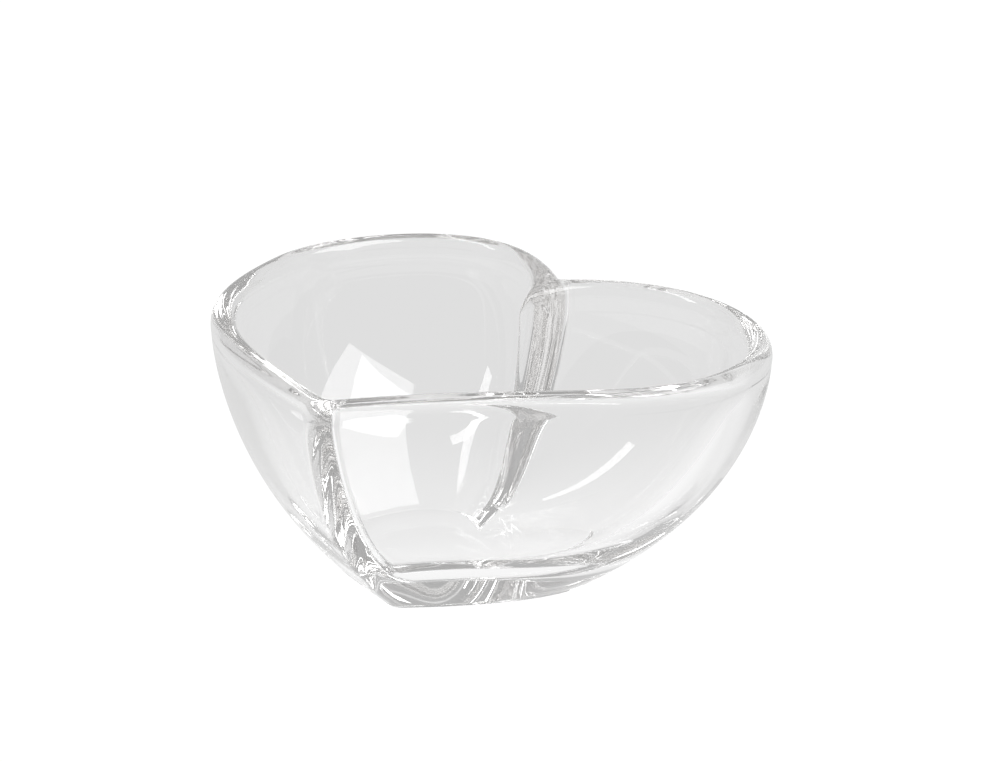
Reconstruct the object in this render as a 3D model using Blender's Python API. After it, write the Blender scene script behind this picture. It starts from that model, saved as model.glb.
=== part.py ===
"""Heart-shaped glass bowl, pressed in one piece of clear glass.

The bowl is one closed wall of glass, lofted through heart-shaped rings: up the outside from the
foot, over the fire-polished rim and down the inside to the floor. Metres, +Z up. The tip of the
heart points to -Y, the cleft to +Y, and the origin is on the table under the middle of the bowl.
"""

import math

import bpy
from mathutils import Vector

# ---- Driving dimensions, in metres. Plan positions are from the line through tip and cleft ----
HEIGHT = 0.0673              # foot to the crest of the rim
TIP_REACH = 0.0740           # plan centre to the outer tip, before it is rounded
CLEFT_Y = 0.0392             # the bottom of the outer cleft, at the rim
RIGHT_REACH = 0.0763         # tip-to-cleft line to the right side of the rim
LEFT_REACH = 0.0737          # the same on the left: the heart leans a little
SIDE_WALL = 0.0072           # wall thickness at both sides, at the rim
TIP_WEB = 0.0085             # glass between the inner and outer tips, along Y
CUSP_WEB = 0.0217            # glass between the outer cleft and the inner cusp, along Y
FLOOR = 0.0105               # glass under the flat floor

FOOT_TIP_Y = -0.0416         # the flat foot's own heart: its tip, before it is rounded
FOOT_CLEFT_Y = -0.0012       # its cleft
FOOT_RIGHT_REACH = 0.0341    # its right side
FOOT_LEFT_REACH = 0.0317     # its left side
WALL_DROP = 0.0019           # how far the outer wall runs straight down before it turns in
BELLY_RISE = 0.0255          # slope of the underside at the foot: this much up ...
BELLY_RUN = 0.0402           # ... for this much out
FLOOR_TIP_Y = -0.0310        # the flat floor inside has its own heart too
FLOOR_CLEFT_Y = 0.0025
FLOOR_RIGHT_REACH = 0.0200
FLOOR_LEFT_REACH = 0.0190
BOWL_DROP = 0.0080           # the same straight run down, inside
FLOOR_SWEEP = 0.0340         # how far the floor sweeps out, nearly level, before it climbs

RIM_OUTER_DROP = 0.0044      # the crest falls this much to the outer wall
RIM_INNER_DROP = 0.0065      # and this much to the inner wall
CREST_SET_IN = 0.42          # the crest's place across the wall, from the outer side

OUTER_TIP_CUT = 0.0055       # corners are eased from this far along each side
INNER_TIP_CUT = 0.0016
OUTER_CLEFT_CUT = 0.0030
INNER_CUSP_CUT = 0.0018
FOOT_TIP_CUT = 0.0030
FOOT_CLEFT_CUT = 0.0020
FLOOR_TIP_CUT = 0.0030
FLOOR_CLEFT_CUT = 0.0030

# ---- How finely the glass is cut into facets ----
CORNER_STEPS = 6             # across the eased tip and cleft
FLANK_STEPS = 12             # from the tip to the widest point of one side
SHOULDER_STEPS = 14          # from there over the lobe to the cleft
WALL_STEPS = 15              # rings down one wall
CREST_STEPS = 5              # rings on each side of the crest


class Side:
    """One half of a heart outline: its widest point and the pull of its curves."""

    def __init__(self, reach, widest_y, tip_angle, tip_pull, flank_pull,
                 shoulder_pull, cleft_pull, cleft_angle):
        self.widest = Vector((reach, widest_y))
        self.tip_pull = direction(tip_angle) * tip_pull
        self.flank_pull = Vector((0.0, -flank_pull))
        self.shoulder_pull = Vector((0.0, shoulder_pull))
        self.cleft_pull = direction(cleft_angle) * cleft_pull


def direction(degrees_off_axis):
    """Unit vector in plan, turned from +Y towards +X."""
    angle = math.radians(degrees_off_axis)
    return Vector((math.sin(angle), math.cos(angle)))


OUTER_SIDES = (
    Side(RIGHT_REACH, 0.0097, 45.2, 0.0654, 0.0382, 0.0247, 0.0500, 61.5),
    Side(LEFT_REACH, 0.0091, 65.8, 0.0668, 0.0396, 0.0254, 0.0510, 43.7),
)
FOOT_SIDES = (
    Side(FOOT_RIGHT_REACH, -0.0016, 55.8, 0.0195, 0.0123, 0.0220, 0.0280, 42.1),
    Side(FOOT_LEFT_REACH, -0.0184, 63.3, 0.0223, 0.0115, 0.0089, 0.0282, 41.0),
)
FLOOR_SIDES = (
    Side(FLOOR_RIGHT_REACH, -0.0070, 50.0, 0.0120, 0.0080, 0.0060, 0.0090, 75.0),
    Side(FLOOR_LEFT_REACH, -0.0090, 60.0, 0.0120, 0.0075, 0.0060, 0.0090, 78.0),
)
INNER_SIDES = (
    Side(RIGHT_REACH - SIDE_WALL, 0.0086, 42.2, 0.0535, 0.0330, 0.0341, 0.0408, 17.4),
    Side(LEFT_REACH - SIDE_WALL, 0.0082, 67.2, 0.0624, 0.0321, 0.0281, 0.0593, 18.7),
)


def bezier(points, t):
    """Point at t on the curve that the control points pull, of any degree."""
    while len(points) > 1:
        points = [a.lerp(b, t) for a, b in zip(points, points[1:])]
    return points[0]


def parameter_at(curve, distance):
    """Where the curve is this far, in a straight line, from where it starts."""
    low, high = 0.0, 1.0
    for _ in range(40):
        middle = (low + high) / 2
        if (bezier(curve, middle) - curve[0]).length < distance:
            low = middle
        else:
            high = middle
    return low


def half_outline(side, tip, cleft, tip_cut, cleft_cut):
    """Points up one side, from the end of the eased tip to the start of the eased cleft."""
    flank = [tip, tip + side.tip_pull, side.widest + side.flank_pull, side.widest]
    shoulder = [cleft, cleft + side.cleft_pull, side.widest + side.shoulder_pull, side.widest]
    first = parameter_at(flank, tip_cut)
    last = parameter_at(shoulder, cleft_cut)
    lower = [bezier(flank, first + (1 - first) * i / FLANK_STEPS) for i in range(FLANK_STEPS)]
    upper = [bezier(shoulder, 1 - (1 - last) * i / SHOULDER_STEPS)
             for i in range(SHOULDER_STEPS + 1)]
    return lower + upper


def mirrored(points):
    return [Vector((-p.x, p.y)) for p in points]


def eased_corner(before, corner, after):
    """Points between two sides, on a curve that is tangent to both."""
    return [bezier([before, corner, after], i / CORNER_STEPS) for i in range(1, CORNER_STEPS)]


def heart_outline(sides, tip_y, cleft_y, tip_cut, cleft_cut):
    """Closed outline in plan, anticlockwise from the tip's right-hand end."""
    tip, cleft = Vector((0.0, tip_y)), Vector((0.0, cleft_y))
    right = half_outline(sides[0], tip, cleft, tip_cut, cleft_cut)
    left = mirrored(half_outline(sides[1], tip, cleft, tip_cut, cleft_cut))[::-1]
    over_cleft = eased_corner(right[-1], cleft, left[0])
    round_tip = eased_corner(left[-1], tip, right[0])
    return right + over_cleft + left + round_tip


def ring_between(start, end, share, z):
    """A ring part of the way from one outline to another, at a height."""
    flat = [a.lerp(b, share) for a, b in zip(start, end)]
    return [Vector((p.x, p.y, z)) for p in flat]


def wall_rings(start, end, profile):
    """Rings along a wall, whose profile gives the share of the way and the height."""
    places = [bezier(profile, i / WALL_STEPS) for i in range(WALL_STEPS + 1)]
    return [ring_between(start, end, share, z) for share, z in places]


def outer_rings(foot, outer):
    """Rings from the foot up to where the rim starts to round over."""
    gain = (RIGHT_REACH + LEFT_REACH - FOOT_RIGHT_REACH - FOOT_LEFT_REACH) / 2
    top = HEIGHT - RIM_OUTER_DROP
    return wall_rings(foot, outer, [
        Vector((0.0, 0.0)), Vector((BELLY_RUN / gain, BELLY_RISE)),
        Vector((1.0, top - WALL_DROP)), Vector((1.0, top))])


def inner_rings(inner, floor):
    """Rings from where the rim's rounding ends down to the edge of the flat floor."""
    loss = (RIGHT_REACH + LEFT_REACH - FLOOR_RIGHT_REACH - FLOOR_LEFT_REACH) / 2 - SIDE_WALL
    top = HEIGHT - RIM_INNER_DROP
    return wall_rings(inner, floor, [
        Vector((0.0, top)), Vector((0.0, top - BOWL_DROP)),
        Vector((1.0 - FLOOR_SWEEP / loss, FLOOR)), Vector((1.0, FLOOR))])


def crest_rings(outer, inner):
    """Rings over the rim: a quarter ellipse up from the outer wall, and one down to the inner."""
    rings = []
    for i in range(1, CREST_STEPS + 1):
        angle = math.pi / 2 * i / CREST_STEPS
        across = CREST_SET_IN * (1 - math.cos(angle))
        rings.append(ring_between(outer, inner, across,
                                  HEIGHT - RIM_OUTER_DROP * (1 - math.sin(angle))))
    for i in range(1, CREST_STEPS):
        angle = math.pi / 2 * i / CREST_STEPS
        across = CREST_SET_IN + (1 - CREST_SET_IN) * math.sin(angle)
        rings.append(ring_between(outer, inner, across,
                                  HEIGHT - RIM_INNER_DROP * (1 - math.cos(angle))))
    return rings


def middle_of(outline):
    """Middle of the outline's box, which the bowl is centred on."""
    xs, ys = [p.x for p in outline], [p.y for p in outline]
    return Vector(((min(xs) + max(xs)) / 2, (min(ys) + max(ys)) / 2, 0.0))


def lofted_mesh(name, rings):
    """Closed mesh through the rings, capped flat at both ends."""
    count = len(rings[0])
    vertices = [p for ring in rings for p in ring]
    faces = [tuple(reversed(range(count)))]
    for r in range(len(rings) - 1):
        low, high = r * count, (r + 1) * count
        for i in range(count):
            j = (i + 1) % count
            faces.append((low + i, low + j, high + j, high + i))
    last = (len(rings) - 1) * count
    faces.append(tuple(range(last, last + count)))
    mesh = bpy.data.meshes.new(name)
    mesh.from_pydata(vertices, [], faces)
    mesh.validate()
    return mesh


def clear_glass():
    """Colourless pressed glass."""
    material = bpy.data.materials.new("clear_glass")
    material.use_nodes = True
    shader = material.node_tree.nodes["Principled BSDF"]
    shader.inputs["Base Color"].default_value = (0.93, 0.95, 0.95, 1.0)
    shader.inputs["Metallic"].default_value = 0.0
    shader.inputs["Roughness"].default_value = 0.02
    shader.inputs["IOR"].default_value = 1.52
    shader.inputs["Transmission Weight"].default_value = 1.0
    return material


def make_bowl():
    """The whole object: one piece of glass."""
    outer = heart_outline(OUTER_SIDES, -TIP_REACH, CLEFT_Y, OUTER_TIP_CUT, OUTER_CLEFT_CUT)
    inner = heart_outline(INNER_SIDES, -TIP_REACH + TIP_WEB, CLEFT_Y - CUSP_WEB,
                          INNER_TIP_CUT, INNER_CUSP_CUT)
    foot = heart_outline(FOOT_SIDES, FOOT_TIP_Y, FOOT_CLEFT_Y, FOOT_TIP_CUT, FOOT_CLEFT_CUT)
    floor = heart_outline(FLOOR_SIDES, FLOOR_TIP_Y, FLOOR_CLEFT_Y, FLOOR_TIP_CUT,
                          FLOOR_CLEFT_CUT)
    rings = outer_rings(foot, outer) + crest_rings(outer, inner) + inner_rings(inner, floor)
    middle = middle_of(outer)
    rings = [[p - middle for p in ring] for ring in rings]
    bowl = bpy.data.objects.new("heart_bowl", lofted_mesh("heart_bowl", rings))
    bpy.context.scene.collection.objects.link(bowl)
    bowl.data.materials.append(clear_glass())
    bowl.data.shade_smooth()
    bowl.data.set_sharp_from_angle(angle=math.radians(50))
    return bowl


for old in list(bpy.data.objects):
    bpy.data.objects.remove(old, do_unlink=True)
make_bowl()
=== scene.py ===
"""Looks of the heart-shaped glass bowl: one piece of clear pressed glass on a pale table top.

The bowl is lofted by a Geometry Nodes tree through four heart outlines, those of the foot, of the
rim outside and inside, and of the floor: over the foot, up the outer wall, over the rim, down the
inner wall and across the floor. Metres, +Z up, the tip of the heart towards -Y and its cleft towards +Y.
"""

import logging
import math
from dataclasses import dataclass
from enum import Enum
from typing import Any

import bpy
from mathutils import Matrix, Vector


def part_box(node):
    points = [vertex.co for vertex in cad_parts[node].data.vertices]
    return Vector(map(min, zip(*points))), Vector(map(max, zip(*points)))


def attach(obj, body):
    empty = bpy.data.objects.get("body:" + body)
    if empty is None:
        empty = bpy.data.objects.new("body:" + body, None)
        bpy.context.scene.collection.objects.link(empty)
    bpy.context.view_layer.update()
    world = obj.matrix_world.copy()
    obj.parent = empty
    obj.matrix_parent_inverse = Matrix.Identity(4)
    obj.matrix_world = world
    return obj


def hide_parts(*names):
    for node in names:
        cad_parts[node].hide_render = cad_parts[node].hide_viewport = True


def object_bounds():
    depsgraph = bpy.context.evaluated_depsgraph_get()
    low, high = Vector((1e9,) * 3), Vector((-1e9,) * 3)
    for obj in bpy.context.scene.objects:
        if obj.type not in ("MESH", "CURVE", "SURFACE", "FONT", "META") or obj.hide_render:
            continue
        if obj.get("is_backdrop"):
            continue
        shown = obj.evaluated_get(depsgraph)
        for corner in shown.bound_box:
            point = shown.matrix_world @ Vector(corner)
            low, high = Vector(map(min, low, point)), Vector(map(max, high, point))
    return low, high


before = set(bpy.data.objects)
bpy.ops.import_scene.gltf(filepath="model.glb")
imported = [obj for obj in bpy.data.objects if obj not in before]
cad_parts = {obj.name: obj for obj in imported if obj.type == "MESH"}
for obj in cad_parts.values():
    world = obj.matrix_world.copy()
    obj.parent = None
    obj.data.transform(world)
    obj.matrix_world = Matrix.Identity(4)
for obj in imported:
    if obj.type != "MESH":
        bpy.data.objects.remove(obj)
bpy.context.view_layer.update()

NODE = "heart_bowl"          # the CAD node that the glass stands for
BODY = "root"
MM = 0.001
WELD = 1e-6                  # strips closer than this are joined
SEARCH_STEPS = 40            # halvings in a search along a curve
GLASS_BOUNCES = 64           # light runs a long way inside the wall before it gets out

log = logging.getLogger("heart_bowl")


# ---- Small tools -------------------------------------------------------------------------------

def add_node(tree: bpy.types.NodeTree, kind: str, settings: dict[str, Any] | None = None,
             inputs: dict[str | int, Any] | None = None) -> bpy.types.Node:
    """Adds one node, with its settings and links.

    Args:
        tree: the tree that the node goes in.
        kind: the node's type.
        settings: values of the node's own properties.
        inputs: for an input, by name or number, its value, the socket linked to it, or a list
            of sockets where it takes several.

    Returns:
        The new node.
    """
    node = tree.nodes.new(kind)
    for name, value in (settings or {}).items():
        setattr(node, name, value)
    for key, value in (inputs or {}).items():
        sockets = value if isinstance(value, list) else [value]
        if isinstance(sockets[0], bpy.types.NodeSocket):
            for socket in sockets:
                tree.links.new(socket, node.inputs[key])
        else:
            node.inputs[key].default_value = value
    return node


def linear(colour: str) -> tuple[float, float, float, float]:
    """Turns an sRGB hex colour into linear light.

    Args:
        colour: six hex digits after a hash sign.

    Returns:
        Red, green, blue and alpha, each 0 to 1.
    """
    parts = [int(colour[i:i + 2], 16) / 255 for i in (1, 3, 5)]
    light = [p / 12.92 if p <= 0.04045 else ((p + 0.055) / 1.055) ** 2.4 for p in parts]
    return (light[0], light[1], light[2], 1.0)


def bezier(points: list[Vector], t: float) -> Vector:
    """Point at t on the curve that the control points pull.

    Args:
        points: control points, of any degree.
        t: place along the curve, 0 to 1.

    Returns:
        The point.
    """
    while len(points) > 1:
        points = [a.lerp(b, t) for a, b in zip(points, points[1:])]
    return points[0]


# ---- Finishes ----------------------------------------------------------------------------------

@dataclass(frozen=True)
class PressedGlass:
    """Clear soda-lime glass, pressed in a mould and fire-polished.

    Fire-polishing gives the eye a bright wet gloss with no grain. The mould's chill leaves slow
    ripples in the surface, which bend what is seen through the wall. Iron in the sand takes a
    little light out of long paths, so thick places look grey and not tinted.
    """

    ior: float = 1.52
    roughness: float = 0.0
    tint: str = "#ffffff"
    depth_colour: str = "#e8e7e6"        # what is left of white after a long path
    depth_density: float = 5.0           # per metre of glass passed through
    ripple: float = 24 * MM              # from crest to crest of the slow ripples
    ripple_height: float = 0.05 * MM
    drawn_share: float = 0.5             # the ripples are drawn out along the height
    fine_ripple: float = 3.2 * MM
    fine_share: float = 0.02
    smear: float = 0.012                 # the roughness that the fine ripples add at their tops
    smear_from: float = 0.45
    smear_to: float = 0.8

    def make(self) -> bpy.types.Material:
        """Makes the glass.

        Returns:
            The material.
        """
        material = bpy.data.materials.new("clear_pressed_glass")
        material.use_nodes = True
        tree = material.node_tree
        tree.nodes.clear()
        place = add_node(tree, "ShaderNodeTexCoord").outputs["Object"]
        drawn = add_node(tree, "ShaderNodeMapping", inputs={
            "Vector": place, "Scale": (1.0, 1.0, self.drawn_share)}).outputs["Vector"]
        slow = add_node(tree, "ShaderNodeTexNoise", inputs={
            "Vector": drawn, "Scale": 1 / self.ripple, "Detail": 1.0, "Roughness": 0.4})
        fine = add_node(tree, "ShaderNodeTexNoise", inputs={
            "Vector": place, "Scale": 1 / self.fine_ripple, "Detail": 1.0})
        height = add_node(tree, "ShaderNodeMix", inputs={
            0: self.fine_share, 2: slow.outputs["Fac"], 3: fine.outputs["Fac"]})
        bump = add_node(tree, "ShaderNodeBump", inputs={
            "Strength": 1.0, "Distance": self.ripple_height, "Height": height.outputs[0]})
        smear = add_node(tree, "ShaderNodeMapRange", inputs={
            "Value": fine.outputs["Fac"], "From Min": self.smear_from,
            "From Max": self.smear_to, "To Min": self.roughness,
            "To Max": self.roughness + self.smear})
        glass = add_node(tree, "ShaderNodeBsdfPrincipled", inputs={
            "Base Color": linear(self.tint), "Roughness": smear.outputs["Result"],
            "IOR": self.ior, "Transmission Weight": 1.0, "Normal": bump.outputs["Normal"]})
        depth = add_node(tree, "ShaderNodeVolumeAbsorption", inputs={
            "Color": linear(self.depth_colour), "Density": self.depth_density})
        add_node(tree, "ShaderNodeOutputMaterial", inputs={
            "Surface": glass.outputs["BSDF"], "Volume": depth.outputs["Volume"]})
        return material


# ---- The bowl ----------------------------------------------------------------------------------

class Half(Enum):
    """The two halves of a heart, and which way each lies along X."""

    RIGHT = 1
    LEFT = -1


@dataclass(frozen=True)
class HalfHeart:
    """One half of a heart outline: its widest point and the pull of its curves, in metres."""

    reach: float
    widest_y: float
    tip_angle: float
    tip_pull: float
    flank_pull: float
    shoulder_pull: float
    cleft_pull: float
    cleft_angle: float

    def flank(self, tip: Vector) -> list[Vector]:
        """Control points from the tip to the widest point."""
        widest = Vector((self.reach, self.widest_y))
        return [tip, tip + self._towards(self.tip_angle, self.tip_pull),
                widest - Vector((0.0, self.flank_pull)), widest]

    def shoulder(self, cleft: Vector) -> list[Vector]:
        """Control points from the cleft over the lobe to the widest point."""
        widest = Vector((self.reach, self.widest_y))
        return [cleft, cleft + self._towards(self.cleft_angle, self.cleft_pull),
                widest + Vector((0.0, self.shoulder_pull)), widest]

    @staticmethod
    def _towards(angle: float, length: float) -> Vector:
        """A step of this length, turned this many degrees from +Y towards +X."""
        turn = math.radians(angle)
        return Vector((math.sin(turn), math.cos(turn))) * length


@dataclass(frozen=True)
class HeartOutline:
    """A closed heart in plan, its tip and cleft eased where the glass flowed round."""

    halves: dict[Half, HalfHeart]
    tip_y: float
    cleft_y: float
    tip_cut: float
    cleft_cut: float
    flank_steps: int = 105
    shoulder_steps: int = 165
    corner_steps: int = 10

    def points(self) -> list[Vector]:
        """Walks the outline anticlockwise from the right-hand end of the eased tip.

        Returns:
            The outline's points, the first one not repeated.
        """
        right = self._half(Half.RIGHT)
        left = self._half(Half.LEFT)[::-1]
        cleft = Vector((0.0, self.cleft_y))
        tip = Vector((0.0, self.tip_y))
        return right + self._corner(right[-1], cleft, left[0]) + left + self._corner(
            left[-1], tip, right[0])

    def _half(self, side: Half) -> list[Vector]:
        """Points up one side, from the eased tip to the eased cleft."""
        half = self.halves[side]
        flank = half.flank(Vector((0.0, self.tip_y)))
        shoulder = half.shoulder(Vector((0.0, self.cleft_y)))
        first = self._parameter_at(flank, self.tip_cut)
        last = self._parameter_at(shoulder, self.cleft_cut)
        lower = [bezier(flank, first + (1 - first) * i / self.flank_steps)
                 for i in range(self.flank_steps)]
        upper = [bezier(shoulder, 1 - (1 - last) * i / self.shoulder_steps)
                 for i in range(self.shoulder_steps + 1)]
        return [Vector((side.value * p.x, p.y)) for p in lower + upper]

    def _corner(self, before: Vector, corner: Vector, after: Vector) -> list[Vector]:
        """Points between two sides, on a curve tangent to both."""
        return [bezier([before, corner, after], i / self.corner_steps)
                for i in range(1, self.corner_steps)]

    @staticmethod
    def _parameter_at(curve: list[Vector], distance: float) -> float:
        """Where the curve is this far, in a straight line, from its start."""
        low, high = 0.0, 1.0
        for _ in range(SEARCH_STEPS):
            middle = (low + high) / 2
            if (bezier(curve, middle) - curve[0]).length < distance:
                low = middle
            else:
                high = middle
        return low


@dataclass(frozen=True)
class BowlSizes:
    """The bowl's own sizes, in metres. The overall box comes from the frame."""

    tip_reach: float = 0.0740
    cleft_y: float = 0.0392
    right_reach: float = 0.0763
    left_reach: float = 0.0737
    side_wall: float = 0.0072
    tip_web: float = 0.0085
    cusp_web: float = 0.0217
    floor: float = 0.0105
    foot_right: float = 0.0341
    foot_left: float = 0.0317
    wall_drop: float = 0.0019
    belly_rise: float = 0.0255
    belly_run: float = 0.0402
    floor_right: float = 0.0200
    floor_left: float = 0.0190
    bowl_drop: float = 0.0080
    floor_sweep: float = 0.0340
    rim_outer_drop: float = 0.0044
    rim_inner_drop: float = 0.0065
    crest_set_in: float = 0.42
    foot_edge: float = 1.0 * MM          # the foot's edge is rounded in by this much
    edge_rise: float = 0.5               # and up by this share of it
    edge_handle: float = 0.2             # where its curve starts to turn upright
    lip: float = 0.15 * MM               # the rim stands this proud of the walls below it
    lip_height: float = 1.6 * MM

    @property
    def outlines(self) -> dict[str, HeartOutline]:
        """The four hearts that the glass is lofted through, by name."""
        outer = HeartOutline({
            Half.RIGHT: HalfHeart(self.right_reach, 0.0097, 45.2, 0.0654, 0.0382, 0.0247,
                                  0.0500, 61.5),
            Half.LEFT: HalfHeart(self.left_reach, 0.0091, 65.8, 0.0668, 0.0396, 0.0254,
                                 0.0510, 43.7)},
            tip_y=-self.tip_reach, cleft_y=self.cleft_y, tip_cut=0.0055, cleft_cut=0.0030)
        inner = HeartOutline({
            Half.RIGHT: HalfHeart(self.right_reach - self.side_wall, 0.0086, 42.2, 0.0535,
                                  0.0330, 0.0341, 0.0408, 17.4),
            Half.LEFT: HalfHeart(self.left_reach - self.side_wall, 0.0082, 67.2, 0.0624,
                                 0.0321, 0.0281, 0.0593, 18.7)},
            tip_y=-self.tip_reach + self.tip_web, cleft_y=self.cleft_y - self.cusp_web,
            tip_cut=0.0016, cleft_cut=0.0018)
        foot = HeartOutline({
            Half.RIGHT: HalfHeart(self.foot_right, -0.0016, 55.8, 0.0195, 0.0123, 0.0220,
                                  0.0280, 42.1),
            Half.LEFT: HalfHeart(self.foot_left, -0.0184, 63.3, 0.0223, 0.0115, 0.0089,
                                 0.0282, 41.0)},
            tip_y=-0.0416, cleft_y=-0.0012, tip_cut=0.0030, cleft_cut=0.0020)
        floor = HeartOutline({
            Half.RIGHT: HalfHeart(self.floor_right, -0.0070, 50.0, 0.0120, 0.0080, 0.0060,
                                  0.0090, 75.0),
            Half.LEFT: HalfHeart(self.floor_left, -0.0090, 60.0, 0.0120, 0.0075, 0.0060,
                                 0.0090, 78.0)},
            tip_y=-0.0310, cleft_y=0.0025, tip_cut=0.0030, cleft_cut=0.0030)
        return {"foot": foot, "outer": outer, "inner": inner, "floor": floor}


class LoftTree:
    """The Geometry Nodes tree that lofts the glass through the four outlines.

    The mesh that it works on is one ring of points, each with its place on every outline as an
    attribute. A section is a grid whose columns follow the ring and whose rows follow a profile
    curve from one outline to another.
    """

    ROUND = 0.5523                       # handle length that makes a quarter of an ellipse
    PROFILE_STEPS = 400                  # points along a profile curve

    def __init__(self, columns: int, middle: Vector) -> None:
        """Starts the tree.

        Args:
            columns: points in the ring.
            middle: the middle of the foot and of the floor, in plan.
        """
        self.columns = columns
        self.middle = middle
        self.tree = bpy.data.node_groups.new("bowl_loft", "GeometryNodeTree")
        self.tree.interface.new_socket("Outlines", in_out="INPUT",
                                       socket_type="NodeSocketGeometry")
        self.tree.interface.new_socket("Glass", in_out="OUTPUT",
                                       socket_type="NodeSocketGeometry")
        self.group = self.tree.nodes.new("NodeGroupInput")
        self.sizes: dict[str, float] = {}

    def size(self, name: str, value: float) -> bpy.types.NodeSocket:
        """Declares a named size and gives its socket.

        Args:
            name: the input's name.
            value: its size in metres, or a share.

        Returns:
            The group input's socket.
        """
        if name not in self.sizes:
            self.tree.interface.new_socket(name, in_out="INPUT",
                                           socket_type="NodeSocketFloat")
            self.sizes[name] = value
        return self.group.outputs[name]

    def total(self, *terms: tuple[Any, Any]) -> bpy.types.NodeSocket:
        """Adds up sizes, each taken a number of times.

        Args:
            terms: pairs of a size and how many times it counts.

        Returns:
            The sum's socket.
        """
        result: Any = 0.0
        for size, times in terms:
            result = add_node(self.tree, "ShaderNodeMath", {"operation": "MULTIPLY_ADD"},
                              {0: size, 1: times, 2: result}).outputs[0]
        return result

    def profile(self, *points: tuple[Any, Any]) -> bpy.types.NodeSocket:
        """A cubic profile curve.

        Args:
            points: its four control points, each by its X and its height.

        Returns:
            The curve.
        """
        names = ("Start", "Start Handle", "End Handle", "End")
        placed = [add_node(self.tree, "ShaderNodeCombineXYZ", inputs={0: x, 2: z}).outputs[0]
                  for x, z in points]
        return add_node(self.tree, "GeometryNodeCurvePrimitiveBezierSegment",
                        {"mode": "POSITION"}, {"Resolution": self.PROFILE_STEPS,
                                               **dict(zip(names, placed))}).outputs["Curve"]

    def step(self, x0: Any, z0: Any, x1: Any, z1: Any) -> bpy.types.NodeSocket:
        """A soft step in a profile, upright at both ends.

        Args:
            x0: where it starts, across the wall.
            z0: how high it starts.
            x1: where it ends, across the wall.
            z1: how high it ends.

        Returns:
            The step's curve.
        """
        middle = self.total((z0, 0.5), (z1, 0.5))
        return self.profile((x0, z0), (x0, middle), (x1, middle), (x1, z1))

    def section(self, curve: bpy.types.NodeSocket, rows: int, start: str | None,
                end: str | None, whole: Any) -> bpy.types.NodeSocket:
        """One lofted strip of the surface, all the way round.

        Args:
            curve: profile. Its X is how far the strip has gone from one outline to the other
                and its Z the height.
            rows: rings along the profile.
            start: the outline where X is 0, or None for the middle of the bowl.
            end: the outline where X is whole, or None for the middle of the bowl.
            whole: how far apart the two outlines are, in the profile's X.

        Returns:
            The strip.
        """
        tree = self.tree
        grid = add_node(tree, "GeometryNodeMeshGrid", inputs={
            "Vertices X": self.columns + 1, "Vertices Y": rows})
        index = add_node(tree, "GeometryNodeInputIndex").outputs[0]
        column = add_node(tree, "FunctionNodeIntegerMath", {"operation": "DIVIDE_FLOOR"},
                          {0: index, 1: rows})
        point = add_node(tree, "FunctionNodeIntegerMath", {"operation": "MODULO"},
                         {0: column.outputs[0], 1: self.columns})
        row = add_node(tree, "FunctionNodeIntegerMath", {"operation": "MODULO"},
                       {0: index, 1: rows})
        along = add_node(tree, "ShaderNodeMath", {"operation": "DIVIDE"},
                         {0: row.outputs[0], 1: float(rows - 1)}).outputs[0]
        sampled = add_node(tree, "GeometryNodeSampleCurve", {"mode": "FACTOR"},
                           {"Curves": curve, "Factor": along}).outputs["Position"]
        parts = add_node(tree, "ShaderNodeSeparateXYZ", inputs={0: sampled})
        share = add_node(tree, "ShaderNodeMath", {"operation": "DIVIDE"},
                         {0: parts.outputs[0], 1: whole}).outputs[0]
        plan = add_node(tree, "ShaderNodeMix", {"data_type": "VECTOR", "clamp_factor": False}, {
            0: share,
            4: self.place_on(start, point), 5: self.place_on(end, point)}).outputs[1]
        flat = add_node(tree, "ShaderNodeSeparateXYZ", inputs={0: plan})
        place = add_node(tree, "ShaderNodeCombineXYZ", inputs={
            0: flat.outputs[0], 1: flat.outputs[1], 2: parts.outputs[2]}).outputs[0]
        return add_node(tree, "GeometryNodeSetPosition", inputs={
            "Geometry": grid.outputs["Mesh"], "Position": place}).outputs["Geometry"]

    def place_on(self, outline: str | None, point: bpy.types.Node) -> Any:
        """Where a ring's point is on an outline, or in the middle of the bowl.

        Args:
            outline: the outline's name, or None for the middle.
            point: the node that numbers the ring's points.

        Returns:
            A socket, or a plain place.
        """
        if outline is None:
            return self.middle
        stored = add_node(self.tree, "GeometryNodeInputNamedAttribute",
                          {"data_type": "FLOAT_VECTOR"}, {"Name": outline})
        return add_node(self.tree, "GeometryNodeSampleIndex", {"data_type": "FLOAT_VECTOR"}, {
            "Geometry": self.group.outputs["Outlines"],
            "Value": stored.outputs["Attribute"], "Index": point.outputs[0]}).outputs[0]


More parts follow.
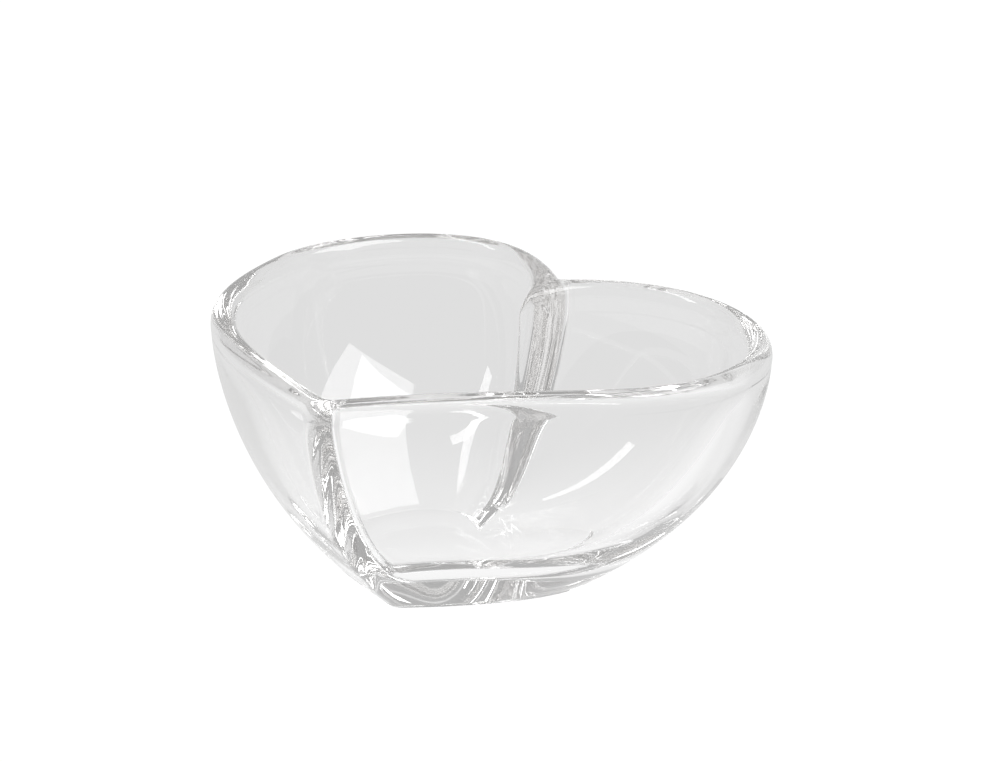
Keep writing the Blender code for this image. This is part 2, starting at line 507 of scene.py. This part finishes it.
@dataclass
class HeartBowl:
    """The bowl itself: builds its mesh and dresses it in glass."""

    sizes: BowlSizes
    glass: PressedGlass
    outer_rows: int = 44
    rim_rows: int = 26
    inner_rows: int = 44
    flat_rows: int = 6
    edge_rows: int = 7
    lip_rows: int = 8
    middle_y: float = -0.0150            # where the flat foot and floor close to a point

    def build(self) -> bpy.types.Object:
        """Builds the glass where the frame has it.

        Returns:
            The finished piece.
        """
        low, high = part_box(NODE)
        outlines = {name: o.points() for name, o in self.sizes.outlines.items()}
        shift = self._onto(outlines["outer"], low, high)
        ring = bpy.data.meshes.new("outlines")
        ring.from_pydata([(p.x, p.y, 0.0) for p in outlines["outer"]], [], [])
        for name, points in outlines.items():
            stored = ring.attributes.new(name, "FLOAT_VECTOR", "POINT")
            for item, p in zip(stored.data, points):
                item.vector = (p.x + shift.x, p.y + shift.y, 0.0)
        draft = bpy.data.objects.new("bowl_draft", ring)
        bpy.context.scene.collection.objects.link(draft)
        loft = self._tree(len(outlines["outer"]), low.z, high.z - low.z, shift)
        modifier = draft.modifiers.new("loft", "NODES")
        modifier.node_group = loft.tree
        for item in loft.tree.interface.items_tree:
            if item.name in loft.sizes:
                modifier[item.identifier] = loft.sizes[item.name]
        evaluated = draft.evaluated_get(bpy.context.evaluated_depsgraph_get())
        mesh = bpy.data.meshes.new_from_object(evaluated)
        mesh.name = "bowl_glass"
        bpy.data.objects.remove(draft, do_unlink=True)
        bowl = bpy.data.objects.new("bowl_glass", mesh)
        bpy.context.scene.collection.objects.link(bowl)
        return bowl

    @staticmethod
    def _onto(outline: list[Vector], low: Vector, high: Vector) -> Vector:
        """How far the outline moves to lie in the middle of the frame's box."""
        xs, ys = [p.x for p in outline], [p.y for p in outline]
        return Vector(((low.x + high.x - min(xs) - max(xs)) / 2,
                       (low.y + high.y - min(ys) - max(ys)) / 2, 0.0))

    def _tree(self, columns: int, base: float, height: float, shift: Vector) -> LoftTree:
        """Lays out the loft: foot, outer wall, rim, inner wall, floor."""
        s = self.sizes
        loft = LoftTree(columns, shift + Vector((0.0, self.middle_y, 0.0)))
        total = loft.total
        bottom = loft.size("Table height", base)
        crest = total((bottom, 1), (loft.size("Height", height), 1))
        outer_drop = loft.size("Rim outer drop", s.rim_outer_drop)
        inner_drop = loft.size("Rim inner drop", s.rim_inner_drop)
        outer_top = total((crest, 1), (outer_drop, -1))
        inner_top = total((crest, 1), (inner_drop, -1))
        floor_top = total((bottom, 1), (loft.size("Floor", s.floor), 1))
        lip = loft.size("Lip", s.lip)
        lip_height = loft.size("Lip height", s.lip_height)
        outer_low = total((outer_top, 1), (lip_height, -1))
        inner_low = total((inner_top, 1), (lip_height, -1))

        half = (s.right_reach + s.left_reach) / 2
        half_foot = (s.foot_right + s.foot_left) / 2
        gain = loft.size("Foot to rim", half - half_foot)
        edge = loft.size("Foot edge", s.foot_edge)
        edge_top = total((bottom, 1), (edge, s.edge_rise))
        under_lip = total((gain, 1), (lip, -1))
        outer_wall = loft.profile(
            (0.0, edge_top),
            (loft.size("Belly run", s.belly_run),
             total((bottom, 1), (loft.size("Belly rise", s.belly_rise), 1))),
            (under_lip, total((outer_low, 1), (loft.size("Wall drop", s.wall_drop), -1))),
            (under_lip, outer_low))
        outer_lip = loft.step(under_lip, outer_low, gain, outer_top)

        loss = loft.size("Rim to floor",
                         half - s.side_wall - (s.floor_right + s.floor_left) / 2)
        behind_lip = total((lip, -1))
        inner_lip = loft.step(0.0, inner_top, behind_lip, inner_low)
        inner_wall = loft.profile(
            (behind_lip, inner_low),
            (behind_lip, total((inner_top, 1), (loft.size("Bowl drop", s.bowl_drop), -1))),
            (total((loss, 1), (loft.size("Floor sweep", s.floor_sweep), -1)), floor_top),
            (loss, floor_top))

        wall = loft.size("Side wall", s.side_wall)
        set_in = total((wall, loft.size("Crest set in", s.crest_set_in)))
        rest = total((wall, 1), (set_in, -1))
        rounded = LoftTree.ROUND
        up_outside = loft.profile(
            (0.0, outer_top), (0.0, total((outer_top, 1), (outer_drop, rounded))),
            (total((set_in, 1 - rounded)), crest), (set_in, crest))
        down_inside = loft.profile(
            (set_in, crest), (total((set_in, 1), (rest, rounded)), crest),
            (wall, total((inner_top, 1), (inner_drop, rounded))), (wall, inner_top))

        flat = total((half_foot, 1), (edge, -1))
        foot = loft.profile((0.0, bottom), (0.0, bottom), (flat, bottom), (flat, bottom))
        floor = loft.profile((0.0, floor_top), (0.0, floor_top), (1.0, floor_top),
                             (1.0, floor_top))
        foot_edge = loft.profile(
            (flat, bottom), (total((flat, 1), (edge, rounded)), bottom),
            (half_foot, total((bottom, 1), (edge, s.edge_handle))), (half_foot, edge_top))
        strips = [
            loft.section(foot, self.flat_rows, None, "foot", half_foot),
            loft.section(foot_edge, self.edge_rows, None, "foot", half_foot),
            loft.section(outer_wall, self.outer_rows, "foot", "outer", gain),
            loft.section(outer_lip, self.lip_rows, "foot", "outer", gain),
            loft.section(up_outside, self.rim_rows, "outer", "inner", wall),
            loft.section(down_inside, self.rim_rows, "outer", "inner", wall),
            loft.section(inner_lip, self.lip_rows, "inner", "floor", loss),
            loft.section(inner_wall, self.inner_rows, "inner", "floor", loss),
            loft.section(floor, self.flat_rows, "floor", None, 1.0)]
        self._finish(loft, strips)
        return loft

    def _finish(self, loft: LoftTree, strips: list[bpy.types.NodeSocket]) -> None:
        """Welds the strips, dresses them in glass and ends the tree."""
        tree = loft.tree
        joined = add_node(tree, "GeometryNodeJoinGeometry", inputs={"Geometry": strips})
        welded = add_node(tree, "GeometryNodeMergeByDistance", inputs={
            "Geometry": joined.outputs[0], "Distance": WELD})
        smooth = add_node(tree, "GeometryNodeSetShadeSmooth",
                          inputs={"Geometry": welded.outputs[0]})
        dressed = add_node(tree, "GeometryNodeSetMaterial", inputs={
            "Geometry": smooth.outputs[0], "Material": self.glass.make()})
        real = add_node(tree, "GeometryNodeRealizeInstances",
                        inputs={"Geometry": dressed.outputs[0]})
        add_node(tree, "NodeGroupOutput", inputs={"Glass": real.outputs[0]})


# ---- Table, light and camera ---------------------------------------------------------------------

@dataclass(frozen=True)
class Studio:
    """A pale table top under soft light, in a dim room."""

    away: Vector                         # level direction from the camera past the bowl
    seen_white: float = 1.05             # brightness of table and room for the eye itself
    lit_to: float = -0.05                # the table's painted light is at its full up to here, past the bowl
    dim_from: float = 0.09               # and has its plain brightness from here on
    # glow of the painted pool of light, and of the table beyond it
    lit: float = 1.0
    plain: float = 0.77
    room: float = 0.54
    back_wall: float = 0.60
    side_turn: float = 0.2               # cosine of the angle where the back wall begins
    back_turn: float = 0.9               # and where it has its full brightness
    table_reach: float = 1.6
    table_gap: float = 0.2 * MM          # keeps the table's face off the foot's

    def build(self) -> None:
        """Builds the table and the room's light."""
        self._table()
        self._room()

    def _glow(self, tree: bpy.types.NodeTree, emission: bool,
              strength: bpy.types.NodeSocket) -> bpy.types.Node:
        """White light: full for the eye, and of the given strength inside the glass."""
        kind = "ShaderNodeEmission" if emission else "ShaderNodeBackground"
        seen = add_node(tree, kind, inputs={"Strength": self.seen_white})
        unseen = add_node(tree, kind, inputs={"Strength": strength})
        straight = add_node(tree, "ShaderNodeLightPath").outputs["Is Camera Ray"]
        return add_node(tree, "ShaderNodeMixShader", inputs={
            0: straight, 1: unseen.outputs[0], 2: seen.outputs[0]})

    def _table(self) -> None:
        """A flat pale table under the bowl that glows, with a painted pool of light: brightest on the
        camera's side of the bowl and dimmer behind it.
        """
        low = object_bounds()[0]
        reach = self.table_reach
        mesh = bpy.data.meshes.new("table")
        corners = [(-reach, -reach), (reach, -reach), (reach, reach), (-reach, reach)]
        mesh.from_pydata([(x, y, low.z - self.table_gap) for x, y in corners], [], [(0, 1, 2, 3)])
        table = bpy.data.objects.new("table", mesh)
        bpy.context.scene.collection.objects.link(table)
        material = bpy.data.materials.new("pale_table")
        material.use_nodes = True
        tree = material.node_tree
        tree.nodes.clear()
        place = add_node(tree, "ShaderNodeTexCoord").outputs["Object"]
        past = add_node(tree, "ShaderNodeVectorMath", {"operation": "DOT_PRODUCT"},
                        {0: place, 1: self.away}).outputs["Value"]
        # painted light: the table's glow is stronger on the camera's side of the bowl and weaker behind
        # it, as seen through the glass
        light = add_node(tree, "ShaderNodeMapRange", {"interpolation_type": "SMOOTHSTEP"}, {
            "Value": past, "From Min": self.lit_to, "From Max": self.dim_from,
            "To Min": self.lit, "To Max": self.plain})
        glow = self._glow(tree, True, light.outputs["Result"])
        add_node(tree, "ShaderNodeOutputMaterial", inputs={"Surface": glow.outputs[0]})
        mesh.materials.append(material)
        table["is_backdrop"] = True

    def _room(self) -> None:
        """A dim room with a paler wall behind the bowl."""
        world = bpy.data.worlds.new("room")
        world.use_nodes = True
        tree = world.node_tree
        tree.nodes.clear()
        way = add_node(tree, "ShaderNodeTexCoord").outputs["Generated"]
        back = add_node(tree, "ShaderNodeVectorMath", {"operation": "DOT_PRODUCT"},
                        {0: way, 1: self.away}).outputs["Value"]
        light = add_node(tree, "ShaderNodeMapRange", {"interpolation_type": "SMOOTHSTEP"}, {
            "Value": back, "From Min": self.side_turn, "From Max": self.back_turn,
            "To Min": self.room, "To Max": self.back_wall})
        glow = self._glow(tree, False, light.outputs["Result"])
        add_node(tree, "ShaderNodeOutputWorld", inputs={"Surface": glow.outputs[0]})
        bpy.context.scene.world = world


@dataclass(frozen=True)
class SoftBox:
    """A rectangular soft light, hung by its lowest corner and facing the bowl."""

    name: str
    corner: Vector                       # direction of its lowest corner from the bowl
    along: Vector                        # direction in which one side runs from that corner
    distance: float
    width: float                         # along that side
    height: float
    radiance: float                      # brightness of its face, 1 being white

    def build(self, centre: Vector) -> None:
        """Hangs the light round a point.

        Args:
            centre: the point that its distance is measured from.
        """
        out = self.corner.normalized()
        side = (self.along - out * self.along.dot(out)).normalized()
        up = out.cross(side)
        data = bpy.data.lights.new(self.name, "AREA")
        data.shape = "RECTANGLE"
        data.size, data.size_y = self.width, self.height
        data.energy = self.radiance * math.pi * self.width * self.height
        light = bpy.data.objects.new(self.name, data)
        bpy.context.scene.collection.objects.link(light)
        light.location = (centre + out * self.distance + side * self.width / 2
                          + up * self.height / 2)
        light.rotation_euler = Matrix((side, up, out)).transposed().to_euler()
        light.visible_camera = False


@dataclass(frozen=True)
class Viewpoint:
    """A camera that looks down into the bowl from the right of its tip."""

    azimuth: float = 33.14               # degrees round from -Y towards +X
    elevation: float = 21.77
    distance: float = 0.900
    aim: tuple[float, float, float] = (0.0058, 0.0065, -0.0157)   # from the middle of the rim
    lens: float = 125.6
    sensor: float = 36.0
    near: float = 0.05
    far: float = 20.0

    @property
    def back(self) -> Vector:
        """Direction from the bowl to the camera."""
        a, e = math.radians(self.azimuth), math.radians(self.elevation)
        return Vector((math.sin(a) * math.cos(e), -math.cos(a) * math.cos(e), math.sin(e)))

    @property
    def away(self) -> Vector:
        """Level direction from the camera past the bowl."""
        return Vector((-self.back.x, -self.back.y, 0.0)).normalized()

    def build(self) -> None:
        """Sets the camera up and makes it the scene's own."""
        low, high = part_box(NODE)
        rim = Vector(((low.x + high.x) / 2, (low.y + high.y) / 2, high.z))
        data = bpy.data.cameras.new("camera")
        data.lens, data.sensor_width = self.lens, self.sensor
        data.clip_start, data.clip_end = self.near, self.far
        camera = bpy.data.objects.new("camera", data)
        bpy.context.scene.collection.objects.link(camera)
        camera.location = rim + Vector(self.aim) + self.back * self.distance
        camera.rotation_euler = self.back.to_track_quat("Z", "Y").to_euler()
        bpy.context.scene.camera = camera


def main() -> None:
    """Builds the view, the studio and the bowl."""
    logging.basicConfig(level=logging.INFO, format="%(message)s")
    view = Viewpoint()
    view.build()
    scene = bpy.context.scene
    scene.view_settings.view_transform = "Standard"
    scene.cycles.max_bounces = GLASS_BOUNCES
    scene.cycles.transmission_bounces = GLASS_BOUNCES
    scene.cycles.glossy_bounces = GLASS_BOUNCES
    Studio(view.away).build()
    low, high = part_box(NODE)
    middle = (low + high) / 2
    for box in (
            SoftBox("right_box", corner=Vector((0.722, -0.041, 0.620)),
                    along=Vector((-0.419, 0.867, 0.162)), distance=0.9, width=0.55,
                    height=0.62, radiance=4.0),
            SoftBox("left_box", corner=Vector((-0.70, -0.42, 0.57)),
                    along=Vector((0.50, -0.39, -0.03)), distance=0.9, width=0.13,
                    height=0.75, radiance=5.0)):
        box.build(middle)
    bowl = HeartBowl(BowlSizes(), PressedGlass()).build()
    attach(bowl, BODY)
    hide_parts(NODE)
    log.info("%s: %d faces", bowl.name, len(bowl.data.polygons))


if __name__ == "__main__":
    main()
